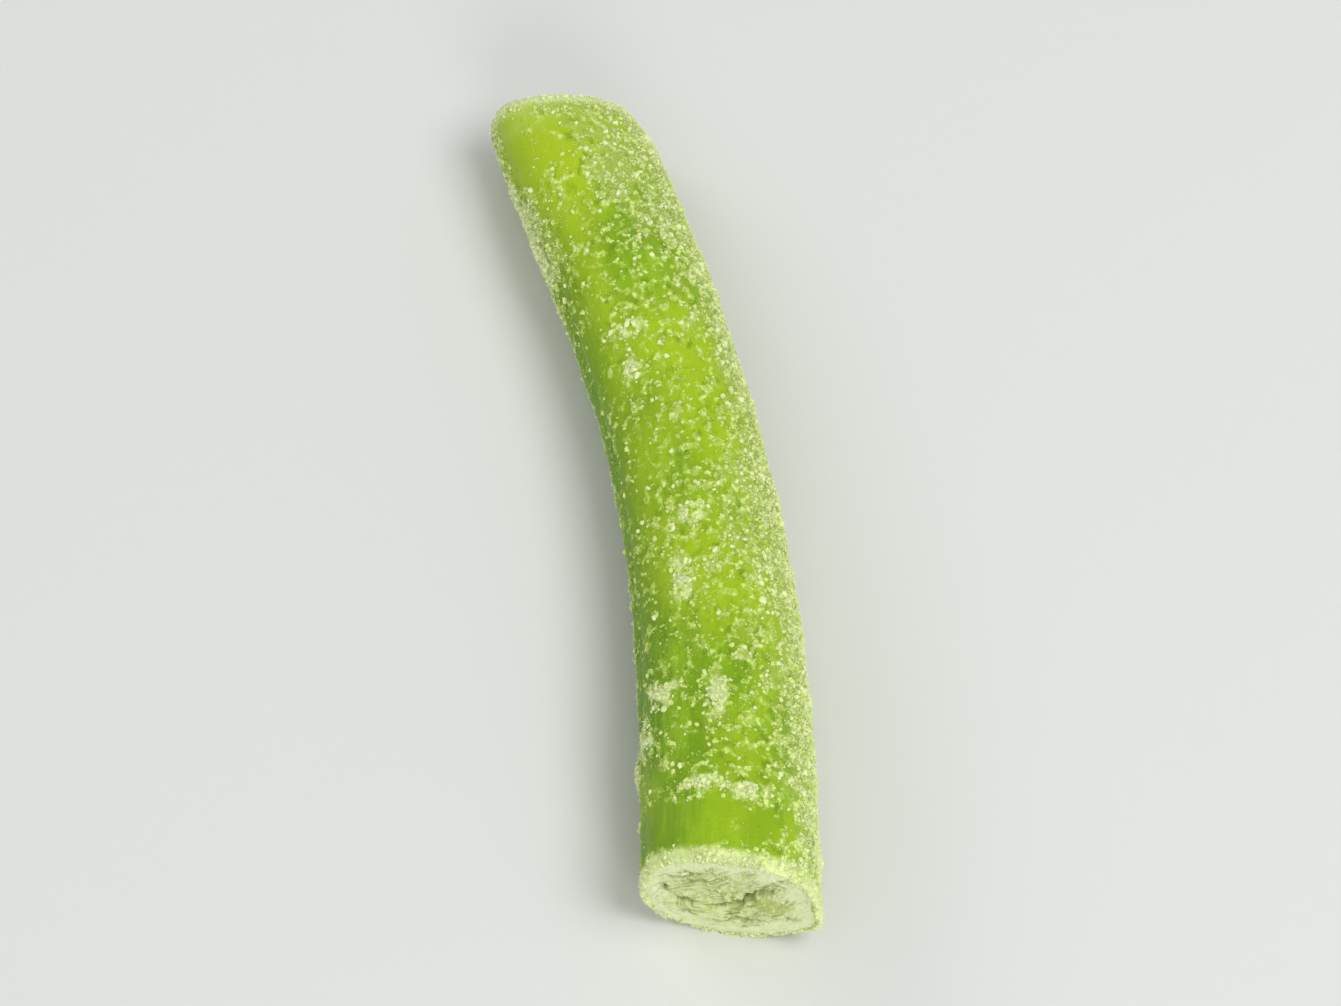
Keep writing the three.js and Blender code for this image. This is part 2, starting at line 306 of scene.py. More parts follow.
def makePod():
    f = podForm
    angles = np.linspace(-0.5 * np.pi, 1.5 * np.pi, f["stepsRound"], endpoint=False)
    even = np.ones_like(angles)
    spots = clumpSpots()
    rings = []

    def addRing(along, share, outward, ahead, marks=None):
        radius = share * (skinRadius(along * even, angles) + outward)
        onSkin = float(share == 1)
        toCut = f["chordLength"] * min(along, 1 - along)
        rings.append({
            "place": podPoint(along * even, angles, share, outward, ahead),
            "straight": np.stack([(along * f["chordLength"] + ahead) * even, radius * np.cos(angles),
                                  radius * np.sin(angles)], 1) * mm,  # the same point, were the bean unbent
            "frost": frostAt(along * even, angles),
            "clump": onSkin * clumpAt(spots, along, angles),
            "rim": onSkin * bump(toCut, f["rimFrost"]) * even,
            "share": share * even,
            "strand": (marks or {}).get("strand", np.zeros((f["stepsRound"], 3))),
        } | {name: (marks or {}).get(name, 0 * even) for name in ("gap", "crease", "seed", "hollow")})

    def addFace(along, form, inward):
        shares = np.linspace(1, f["innermost"], f["stepsFace"])[1:, None]
        radius = shares * (skinRadius(along * even, angles) - f["rimRound"])
        across, up = radius * np.cos(angles), radius * np.sin(angles)
        draw = np.random.default_rng(form["draw"])
        gapLine, creaseLine = markLine(form["gap"], draw), markLine(form["crease"], draw)
        away, ahead = nearest(gapLine, across, up)
        marks = {
            "gap": closeness(gapLine, across, up, f["gapHalf"], draw),
            "crease": closeness(creaseLine, across, up, f["creaseHalf"], draw),
            "seed": oval(across, up, *form["seed"]),
            "hollow": np.clip(sum(oval(across, up, *spot) for spot in form["hollows"]), 0, 1),
            # along the slit and off it
            "strand": np.stack([f["slitLength"] * ahead, away, np.zeros_like(away)], -1) * mm,
        }
        core = 1 - ramp(shares, f["coreShare"] * 0.5, f["coreShare"] * 1.5)
        sink = (f["coreSink"] * core + f["gapDepth"] * marks["gap"] + f["creaseDepth"] * marks["crease"]
                + f["hollowDepth"] * marks["hollow"] - f["seedRise"] * marks["seed"])
        for i, share in enumerate(shares[:, 0]):
            ringMarks = {name: mark[i] for name, mark in marks.items()}
            addRing(along, share, -f["rimRound"], inward * sink[i], ringMarks)

    turns = np.linspace(0, 0.5 * np.pi, f["stepsRim"], endpoint=False)  # round the skin's edge at a cut
    edges = [(f["rimRound"] * (math.sin(turn) - 1), f["rimRound"] * (1 - math.cos(turn))) for turn in turns]
    addFace(0, cutMarks["narrow"], 1)
    rings.reverse()
    for outward, ahead in edges:
        addRing(0, 1, outward, ahead)
    inset = f["rimRound"] / f["chordLength"]
    for along in np.linspace(inset, 1 - inset, f["stepsAlong"] + 1):
        addRing(along, 1, 0, 0)
    for outward, ahead in reversed(edges):
        addRing(1, 1, outward, -ahead)
    addFace(1, cutMarks["wide"], -1)

    def joined(name):  # every ring's values, then those of the two middle points
        values = [ring[name] for ring in rings]
        middles = [values[i].mean(0, keepdims=True) for i in (0, -1)]
        return np.concatenate(values + middles)

    size = f["stepsRound"]
    i = np.arange(size)
    j = (i + 1) % size
    start = np.arange(len(rings) - 1)[:, None] * size
    quads = np.stack([start + i, start + j, start + j + size, start + i + size], -1).reshape(-1, 4)
    end = (len(rings) - 1) * size
    first, last = len(rings) * size, len(rings) * size + 1
    fans = [(first, int(b), int(a)) for a, b in zip(i, j)]
    fans += [(last, int(end + a), int(end + b)) for a, b in zip(i, j)]

    mesh = bpy.data.meshes.new("beanPod")
    mesh.from_pydata((joined("place") * mm).tolist(), [], quads.tolist() + fans)
    mesh.update()
    for name in rings[0]:
        values = joined(name)
        kind, field = ("FLOAT_VECTOR", "vector") if values.ndim == 2 else ("FLOAT", "value")
        if name != "place":
            mesh.attributes.new(name, kind, "POINT").data.foreach_set(field, values.astype(float).ravel())
    share = joined("share")
    cut = [int(min(share[list(face.vertices)]) < 1) for face in mesh.polygons]
    mesh.polygons.foreach_set("material_index", cut)
    mesh.polygons.foreach_set("use_smooth", [True] * len(mesh.polygons))
    return mesh


def blotches(tree, straight, size, low, high, faint=0.0, full=1.0, stretch=(1, 1, 1), detail=2.0, warp=0.0):
    # soft patches about a size in millimetres across, for a material or a Geometry Nodes tree
    add = partial(addNode, tree)
    scale = add("ShaderNodeMath", {0: 1 / mm, 1: size}, operation="DIVIDE")
    place = add("ShaderNodeVectorMath", {0: straight, 1: stretch}, operation="MULTIPLY")
    noise = add("ShaderNodeTexNoise", {"Vector": place, "Scale": scale, "Detail": detail, "Distortion": warp})
    return add("ShaderNodeMapRange", {0: noise, 1: low, 2: high, 3: faint, 4: full},
               interpolation_type="SMOOTHSTEP")


speckForm = {
    "size": 0.42,  # of an island, in millimetres
    "join": 0.3,  # how far thick frost joins the islands
    "low": 0.6, "high": 0.78,  # an island's edge in the noise
    "bareBelow": 0.03, "fullAbove": 0.25,  # how thick the frost is where islands start, and where all show
}


def frostSpecks(tree, straight, frost):  # small islands of frost, which join up where it lies thick
    f = speckForm
    add = partial(addNode, tree)
    uneven = blotches(tree, straight, f["size"], 0.0, 1.0)
    uneven = add("ShaderNodeMath", {0: frost, 1: f["join"], 2: uneven}, operation="MULTIPLY_ADD")
    islands = add("ShaderNodeMapRange", {0: uneven, 1: f["low"], 2: f["high"]},
                  interpolation_type="SMOOTHSTEP")
    frosted = add("ShaderNodeMapRange", {0: frost, 1: f["bareBelow"], 2: f["fullAbove"]})
    return add("ShaderNodeMath", {0: islands, 1: frosted}, operation="MULTIPLY")


reliefForm = {  # heights and sizes in millimetres
    "Lump Height": 0.067, "Lump Size": 2.6,
    "Fibre Height": 0.014, "Fibre Size": 0.5,
    "Flesh Height": 0.08, "Flesh Size": 0.55,
    "Pith Height": 0.035, "Pith Size": 0.2,
    "Speck Height": 0.05,
    "Clump Height": 0.14,
    "Patch Size": 1.3, "Patch Depth": 0.35,  # how far the edges of frosted and bare patches wander
}


def newTree(name, form):  # a Geometry Nodes tree with a named input for each of the form's sizes
    tree = bpy.data.node_groups.new(name, "GeometryNodeTree")
    tree.interface.new_socket("Geometry", in_out="INPUT", socket_type="NodeSocketGeometry")
    tree.interface.new_socket("Geometry", in_out="OUTPUT", socket_type="NodeSocketGeometry")
    for label, value in form.items():
        socket = tree.interface.new_socket(label, in_out="INPUT", socket_type="NodeSocketFloat")
        socket.default_value = value
    return tree, addNode(tree, "NodeGroupInput").outputs


def applyTree(piece, tree, form):
    modifier = piece.modifiers.new(tree.name, "NODES")
    modifier.node_group = tree
    for item in tree.interface.items_tree:
        if item.in_out == "INPUT" and item.name in form:
            modifier[item.identifier] = form[item.name]
    piece.update_tag()
    graph = bpy.context.evaluated_depsgraph_get()
    made = bpy.data.meshes.new_from_object(piece.evaluated_get(graph), depsgraph=graph,
                                           preserve_all_data_layers=True)
    piece.modifiers.remove(modifier)
    return made


def restOnFloor(tree, geometry):  # nothing reaches below the surface that the bean lies on
    add = partial(addNode, tree)
    place = add("ShaderNodeSeparateXYZ", {0: add("GeometryNodeInputPosition")}).outputs
    level = add("ShaderNodeMath", {0: place[2], 1: 0.0}, operation="MAXIMUM")
    raised = add("ShaderNodeCombineXYZ", {0: place[0], 1: place[1], 2: level})
    return add("GeometryNodeSetPosition", {"Geometry": geometry, "Position": raised})


def reliefTree():
    tree, given = newTree("skinRelief", reliefForm)
    add = partial(addNode, tree)
    straight = add("GeometryNodeInputNamedAttribute", {"Name": "straight"}, data_type="FLOAT_VECTOR")
    frost, share, clump = (add("GeometryNodeInputNamedAttribute", {"Name": name}, data_type="FLOAT")
                           for name in ("frost", "share", "clump"))
    wander = blotches(tree, straight, given["Patch Size"], 0.0, 1.0, -1.0, 1.0, detail=3.0)
    ragged = add("ShaderNodeMath", {0: wander, 1: given["Patch Depth"], 2: frost}, operation="MULTIPLY_ADD",
                 use_clamp=True)
    frosted = add("GeometryNodeStoreNamedAttribute", {
        "Geometry": given["Geometry"], "Name": "frost", "Value": ragged}, data_type="FLOAT", domain="POINT")
    onSkin = add("ShaderNodeMath", {0: share, 1: 0.999}, operation="GREATER_THAN")  # the skin's share is 1
    onCut = add("ShaderNodeMath", {0: 1.0, 1: onSkin}, operation="SUBTRACT")
    specks = frostSpecks(tree, straight, ragged)
    specks = add("ShaderNodeMath", {0: specks, 1: onSkin}, operation="MULTIPLY")
    height = add("ShaderNodeMath", {0: clump, 1: given["Clump Height"]}, operation="MULTIPLY")
    height = add("ShaderNodeMath", {0: specks, 1: given["Speck Height"], 2: height}, operation="MULTIPLY_ADD")
    for name, mask, stretch, detail in (
        ("Lump", 1.0, (0.5, 1, 1), 1.0),
        ("Fibre", onSkin, (0.06, 1, 1), 2.0),  # long fine ridges
        ("Flesh", onCut, (1, 1, 1), 4.0),  # torn lumps
        ("Pith", onCut, (1, 1, 1), 2.0),  # and their grain
    ):
        pattern = blotches(tree, straight, given[name + " Size"], 0.0, 1.0, -1.0, 1.0, stretch, detail)
        masked = add("ShaderNodeMath", {0: pattern, 1: mask}, operation="MULTIPLY")
        height = add("ShaderNodeMath", {0: masked, 1: given[name + " Height"], 2: height},
                     operation="MULTIPLY_ADD")
    metres = add("ShaderNodeMath", {0: height, 1: mm}, operation="MULTIPLY")
    outwards = add("GeometryNodeInputNormal")
    offset = add("ShaderNodeVectorMath", {0: outwards, "Scale": metres}, operation="SCALE")
    moved = add("GeometryNodeSetPosition", {"Geometry": frosted, "Offset": offset})
    add("NodeGroupOutput", {"Geometry": restOnFloor(tree, moved)})
    return tree


print("pod: mesh and relief")
rawPod = bpy.data.objects.new("rawPod", makePod())
bpy.context.scene.collection.objects.link(rawPod)
podMesh = applyTree(rawPod, reliefTree(), reliefForm)
podMesh.name = "beanPod"
bpy.data.objects.remove(rawPod)
pod = bpy.data.objects.new("beanPod", podMesh)
bpy.context.scene.collection.objects.link(pod)
print("pod triangles", sum(len(p.vertices) - 2 for p in podMesh.polygons))


def newMaterial(name):
    material = bpy.data.materials.new(name)
    material.use_nodes = True
    tree = material.node_tree
    tree.nodes.clear()
    return material, tree, partial(addNode, tree)


def paintLayers(tree, colour, layers):  # each tone goes over the last, where all its masks are
    for tone, *masks in layers:
        mask = masks[0]
        for other in masks[1:]:
            mask = addNode(tree, "ShaderNodeMath", {0: mask, 1: other}, operation="MULTIPLY")
        colour = addNode(tree, "ShaderNodeMix", {"Factor": mask, 6: colour, 7: tone}, data_type="RGBA")
    return colour


skinLook = {
    "colours": {
        "deep": "#749c12", "mid": "#8fb519", "ripeAndPaintedLight": "#aac41c", "paintedShade": "#588808", "pale": "#a8c832",
        "gapShade": "#5c840e", "haze": "#c2da68", "film": "#a6bb5a", "thin": "#b6d258", "thick": "#a3b45c",
        "lit": "#d6e888", "ice": "#e4f2a4",
    },
    "patterns": {  # each pattern's patch size in millimetres, and its edges in the noise
        "mottle": {"size": 1.6, "low": 0.36, "high": 0.64, "stretch": (0.5, 1, 1), "detail": 3.0},
        "ripeAndPaintedLight": {"size": 5.0, "low": 0.4, "high": 0.66, "full": 0.7, "stretch": (0.6, 1, 1), "detail": 1.0},
        "fibre": {"size": 0.17, "low": 0.4, "high": 0.72, "stretch": (0.05, 1, 1), "detail": 3.0},
        "fibreField": {"size": 2.5, "low": 0.35, "high": 0.65, "faint": 0.05, "full": 0.35},
        "gapShade": {"size": 0.45, "low": 0.5, "high": 0.7, "stretch": (0.8, 1, 1), "detail": 3.0},
        "haze": {"size": 0.9, "low": 0.36, "high": 0.6, "faint": 0.3, "detail": 4.0},
        "film": {"size": 1.1, "low": 0.3, "high": 0.62, "faint": 0.6, "detail": 3.0},
        "filmGrain": {"size": 0.15, "low": 0.38, "high": 0.62, "faint": 0.65},
        "crust": {"size": 0.13, "low": 0.34, "high": 0.6, "faint": 0.3},
        "clump": {"size": 0.5, "low": 0.4, "high": 0.56, "detail": 4.0},
        "edge": {"size": 0.8, "low": 0.34, "high": 0.6, "faint": 0.5},
        "wax": {"size": 0.12, "low": 0.2, "high": 0.8},
        "strand": {"size": 0.1, "low": 0.2, "high": 0.8, "full": 0.6, "stretch": (0.06, 1, 1), "detail": 3.0},
    },
    "zones": {  # the field it follows, where it starts and ends, and its strength at each
        "ripeAndPaintedLight": ("along", 2, 9, 0.9, 0.0),  # in millimetres, from the narrow cut
        "haze": ("along", 0.4, 2.6, 0.8, 0.0),
        "inner": ("across", -3.8, -1.6, 0.75, 0.0),  # and from the middle; painted shade lies over the inner side, fading towards both cuts
        # how the painted shade on the inner side fades towards the narrow cut and the wide cut
        "fromNarrowCut": ("along", 3, 9, 0.3, 1.0),
        "toWideCut": ("along", 34, 38, 1.0, 0.05),
        "underFrost": ("frost", 0.1, 0.35, 0.0, 0.6),
        "thick": ("frost", 0.3, 1.0, 0.0, 1.0),
        "clump": ("clump", 0.05, 0.45, 0.0, 1.0),
        "edge": ("rim", 0.1, 0.6, 0.0, 1.0),
    },
    "crystals": {"size": 0.17, "litFrom": 0.62, "litFull": 0.85},  # painted glints: which crystal cells, picked at random, are painted light as if their faces caught the light
}


def blanchedBeanSkin():  # a thin waxy skin over wet green flesh, blanched, then frozen under a film of rime
    material, tree, add = newMaterial("blanchedBeanSkin")
    straight = add("ShaderNodeAttribute", attribute_name="straight").outputs["Vector"]
    fields = {name: add("ShaderNodeAttribute", attribute_name=name).outputs["Fac"]
              for name in ("frost", "clump", "rim")}
    inMillimetres = add("ShaderNodeVectorMath", {0: straight, "Scale": 1 / mm}, operation="SCALE")
    fields["along"], fields["across"] = add("ShaderNodeSeparateXYZ", {0: inMillimetres}).outputs[:2]
    look, tones, facets = skinLook, skinLook["colours"], skinLook["crystals"]
    pattern = {name: blotches(tree, straight, **form) for name, form in look["patterns"].items()}
    zone = {name: add("ShaderNodeMapRange", {0: fields[field], 1: start, 2: end, 3: first, 4: last},
                      interpolation_type="SMOOTHSTEP")
            for name, (field, start, end, first, last) in look["zones"].items()}

    # riper and painted lighter towards the narrow cut, and frost in specks that join into a crust of crystals
    ripeAndPaintedLight = add("ShaderNodeMath", {0: pattern["ripeAndPaintedLight"], 1: zone["ripeAndPaintedLight"]}, operation="ADD", use_clamp=True)
    specks = frostSpecks(tree, straight, fields["frost"])
    # thick frost is painted darker and greyer than thin: partly its own tone, partly painted shade over the
    # frosted outer shoulder
    crust = add("ShaderNodeMix", {"Factor": zone["thick"], 6: tones["thin"], 7: tones["thick"]},
                data_type="RGBA")
    crystals = add("ShaderNodeTexVoronoi", {"Vector": straight, "Scale": 1 / (facets["size"] * mm)})
    glintPick = add("ShaderNodeSeparateColor", {0: crystals.outputs["Color"]}).outputs[0]
    lit = add("ShaderNodeMapRange", {0: glintPick, 1: facets["litFrom"], 2: facets["litFull"]})
    clumped = add("ShaderNodeMath", {0: zone["clump"], 1: pattern["clump"]}, operation="MULTIPLY")
    edged = add("ShaderNodeMath", {0: zone["edge"], 1: pattern["edge"]}, operation="MULTIPLY")
    iced = add("ShaderNodeMath", {0: clumped, 1: edged}, operation="MAXIMUM")
    colour = paintLayers(tree, tones["deep"], [
        (tones["mid"], pattern["mottle"]),
        # towards the narrow cut: a yellower tone, and also painted lighter there, as if lit
        (tones["ripeAndPaintedLight"], ripeAndPaintedLight),
        # painted shade: the inner side painted darker, as if turned away from the light
        (tones["paintedShade"], zone["inner"], zone["fromNarrowCut"], zone["toWideCut"]),
        (tones["pale"], pattern["fibre"], pattern["fibreField"]),
        # painted shade: darker spots among the frost, standing for the shade in the gaps between its grains
        (tones["gapShade"], pattern["gapShade"], zone["underFrost"]),
        (tones["haze"], zone["haze"], pattern["haze"]),
        (tones["film"], zone["thick"], pattern["film"], pattern["filmGrain"]),
        (crust, specks, pattern["crust"]),
        # painted highlight: glints on the crust's crystals
        (tones["lit"], lit, specks),
        (tones["ice"], iced),
    ])

    roughness = add("ShaderNodeMapRange", {0: specks, 3: 0.42, 4: 0.75})  # wet skin, then dry rime
    faceted = add("ShaderNodeMath", {0: crystals.outputs["Distance"], 1: specks}, operation="MULTIPLY")
    height = add("ShaderNodeMath", {0: pattern["wax"], 1: faceted}, operation="SUBTRACT")
    height = add("ShaderNodeMath", {0: height, 1: pattern["strand"]}, operation="ADD")
    normal = add("ShaderNodeBump", {"Height": height, "Strength": 0.5, "Distance": 0.05 * mm})
    shader = add("ShaderNodeBsdfPrincipled", {
        "Base Color": colour, "Roughness": roughness, "Normal": normal, "IOR": 1.4,
        "Specular IOR Level": 0.22, "Subsurface Weight": 0.3, "Subsurface Radius": (0.9, 1.0, 0.35),
        "Subsurface Scale": 0.5 * mm,
    })
    add("ShaderNodeOutputMaterial", {"Surface": shader})
    return material


fleshLook = {
    "colours": {
        "wall": "#c9d984", "wallPale": "#e3eeb0", "ring": "#f1fbc4", "fibre": "#86933f", "seed": "#c2d06a",
        "lining": "#eef6ba", "hollow": "#7a823a", "gap": "#454b15", "ice": "#f7fdd4",
    },
    "patterns": {  # as the skin's
        "ragged": {"size": 0.9, "low": 0.2, "high": 0.8, "faint": -0.16, "full": 0.16, "detail": 3.0},
        "cell": {"size": 0.4, "low": 0.38, "high": 0.6, "detail": 4.0},
        "fibreField": {"size": 1.0, "low": 0.38, "high": 0.6, "faint": 0.25},
        "hollow": {"size": 0.3, "low": 0.34, "high": 0.56, "faint": 0.25},
        "gap": {"size": 0.8, "low": 0.3, "high": 0.6, "faint": 0.5},
        "rime": {"size": 0.22, "low": 0.5, "high": 0.66},
        "pith": {"size": 0.1, "low": 0.2, "high": 0.8, "detail": 3.0},
    },
    "strands": {"size": 0.2, "low": 0.47, "high": 0.62, "stretch": (0.25, 1, 1), "detail": 4.0, "warp": 0.5},
    "zones": {  # as the skin's
        "ring": ("ragged", 0.6, 0.85, 0.0, 0.9),  # share of the radius, with a wavering edge
        "inward": ("ragged", 0.65, 0.95, 0.85, 0.08),
        "outward": ("share", 0.6, 1.0, 0.2, 0.8),
        "seed": ("seed", 0.2, 0.7, 0.0, 0.75),
        "lining": ("crease", 0.1, 0.7, 0.0, 0.9),
        "gap": ("gap", 0.12, 0.6, 0.0, 1.0),
    },
}


def frozenBeanFlesh():  # cut across, wet and stringy, palest in the wall, its seed cavity shut to a slit
    material, tree, add = newMaterial("frozenBeanFlesh")
    straight, strand = (add("ShaderNodeAttribute", attribute_name=name).outputs["Vector"]
                        for name in ("straight", "strand"))
    fields = {name: add("ShaderNodeAttribute", attribute_name=name).outputs["Fac"]
              for name in ("share", "gap", "crease", "seed", "hollow")}
    look, tones = fleshLook, fleshLook["colours"]
    pattern = {name: blotches(tree, straight, **form) for name, form in look["patterns"].items()}
    fields["ragged"] = add("ShaderNodeMath", {0: fields["share"], 1: pattern["ragged"]}, operation="ADD")
    zone = {name: add("ShaderNodeMapRange", {0: fields[field], 1: start, 2: end, 3: first, 4: last},
                      interpolation_type="SMOOTHSTEP")
            for name, (field, start, end, first, last) in look["zones"].items()}

    strands = blotches(tree, strand, **look["strands"])  # they run along the slit
    for mask in (pattern["fibreField"], zone["inward"]):
        strands = add("ShaderNodeMath", {0: strands, 1: mask}, operation="MULTIPLY")
    colour = paintLayers(tree, tones["wall"], [
        (tones["wallPale"], pattern["cell"]),
        (tones["ring"], zone["ring"]),
        (tones["fibre"], strands),
        (tones["seed"], zone["seed"]),
        (tones["lining"], zone["lining"]),
        # painted shade: the small sunken places are painted darker
        (tones["hollow"], fields["hollow"], pattern["hollow"]),
        # painted shade: the slit into the seed cavity is painted near black
        (tones["gap"], zone["gap"], pattern["gap"]),
        (tones["ice"], pattern["rime"], zone["outward"]),
    ])
    height = add("ShaderNodeMath", {0: pattern["pith"], 1: strands}, operation="SUBTRACT")
    normal = add("ShaderNodeBump", {"Height": height, "Strength": 0.7, "Distance": 0.08 * mm})
    shader = add("ShaderNodeBsdfPrincipled", {
        "Base Color": colour, "Roughness": 0.45, "Normal": normal, "IOR": 1.38,
        "Subsurface Weight": 0.35, "Subsurface Radius": (1.0, 1.0, 0.5), "Subsurface Scale": 0.5 * mm,
    })
    add("ShaderNodeOutputMaterial", {"Surface": shader})
    return material


iceLook = {  # colour and roughness of the three kinds of grain
    "clearHoarFrost": ("#b1c858", 0.3),
    "paleHoarFrost": ("#cfe280", 0.35),
    "whiteHoarFrost": ("#e2efa6", 0.4),
}


def hoarFrost(name):  # loose ice grains: the clearer they are, the more of the skin's green they show
    material, tree, add = newMaterial(name)
    hexCode, roughness = iceLook[name]
    shader = add("ShaderNodeBsdfPrincipled", {
        "Base Color": hexCode, "Roughness": roughness, "IOR": 1.31, "Specular IOR Level": 0.35,
        "Subsurface Weight": 0.5, "Subsurface Radius": (1.0, 1.0, 0.8), "Subsurface Scale": 0.3 * mm,
    })
    add("ShaderNodeOutputMaterial", {"Surface": shader})
    return material


print("skin, flesh and ice materials")
clearIce, paleIce, whiteIce = (hoarFrost(name) for name in iceLook)
for material in (blanchedBeanSkin(), frozenBeanFlesh()):
    podMesh.materials.append(material)

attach(pod, "root")
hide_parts("bean_pod")

frostPieces = {  # grain sizes are half widths in millimetres, density is grains in a square millimetre
    "rimeDust": {
        "Density": 45.0, "Smallest": 0.035, "Largest": 0.085, "Sink": 0.1, "Slender": 1.0, "Upright": 0.0,
        "Frost Power": 1.0, "Clump Share": 1.4, "Cut Share": 0.12, "Clear Share": 0.55, "White Share": 0.1},
    "rimeGrains": {
        "Density": 15.0, "Smallest": 0.08, "Largest": 0.17, "Sink": 0.2, "Slender": 1.0, "Upright": 0.0,
        "Frost Power": 1.0, "Clump Share": 2.2, "Cut Share": 0.06, "Clear Share": 0.5, "White Share": 0.1},
    "hoarCrystals": {
        "Density": 0.9, "Smallest": 0.12, "Largest": 0.23, "Sink": 0.2, "Slender": 1.0, "Upright": 0.0,
        "Frost Power": 1.0, "Clump Share": 9.0, "Cut Share": 0.0, "Clear Share": 0.2, "White Share": 0.4},
    "frostPowder": {
        "Density": 90.0, "Smallest": 0.022, "Largest": 0.045, "Sink": 0.0, "Slender": 1.0, "Upright": 0.0,
        "Frost Power": 1.0, "Clump Share": 1.0, "Cut Share": 0.1, "Clear Share": 0.4, "White Share": 0.15},
    "hoarNeedles": {
        "Density": 20.0, "Smallest": 0.014, "Largest": 0.034, "Sink": -1.5, "Slender": 5.0, "Upright": 1.0,
        "Frost Power": 3.0, "Clump Share": 2.0, "Cut Share": 0.0, "Clear Share": 0.1, "White Share": 0.5},
}
grainForm = {
    "fourSided": ("frostPowder",),
    "eightSided": ("rimeDust", "hoarNeedles"),  # the coarser grains have twenty sides
    "stretch": (0.65, 1.15),  # of a grain's half width, each way
    "lean": 0.6,  # how far a needle leans off upright
    "chip": 0.24,  # how far a corner is off its place, in half widths
    "cutBelow": 0.97,  # the share of the radius under which a place is on a cut
    "apart": 0.35,  # density between the islands of frost
    "gathered": 2.2,  # and on them
    "field": {"size": 1.8, "low": 0.34, "high": 0.66, "faint": 0.4, "full": 1.3},  # uneven cover
    "clump": {"size": 0.5, "low": 0.41, "high": 0.57, "full": 1.6, "detail": 4.0},  # breaks a clump up
    "whiter": {"frost": 0.3, "clump": 0.7, "rim": 0.6, "onCut": 0.6},  # added to a grain's own tone
    "firstSeed": 11,
}


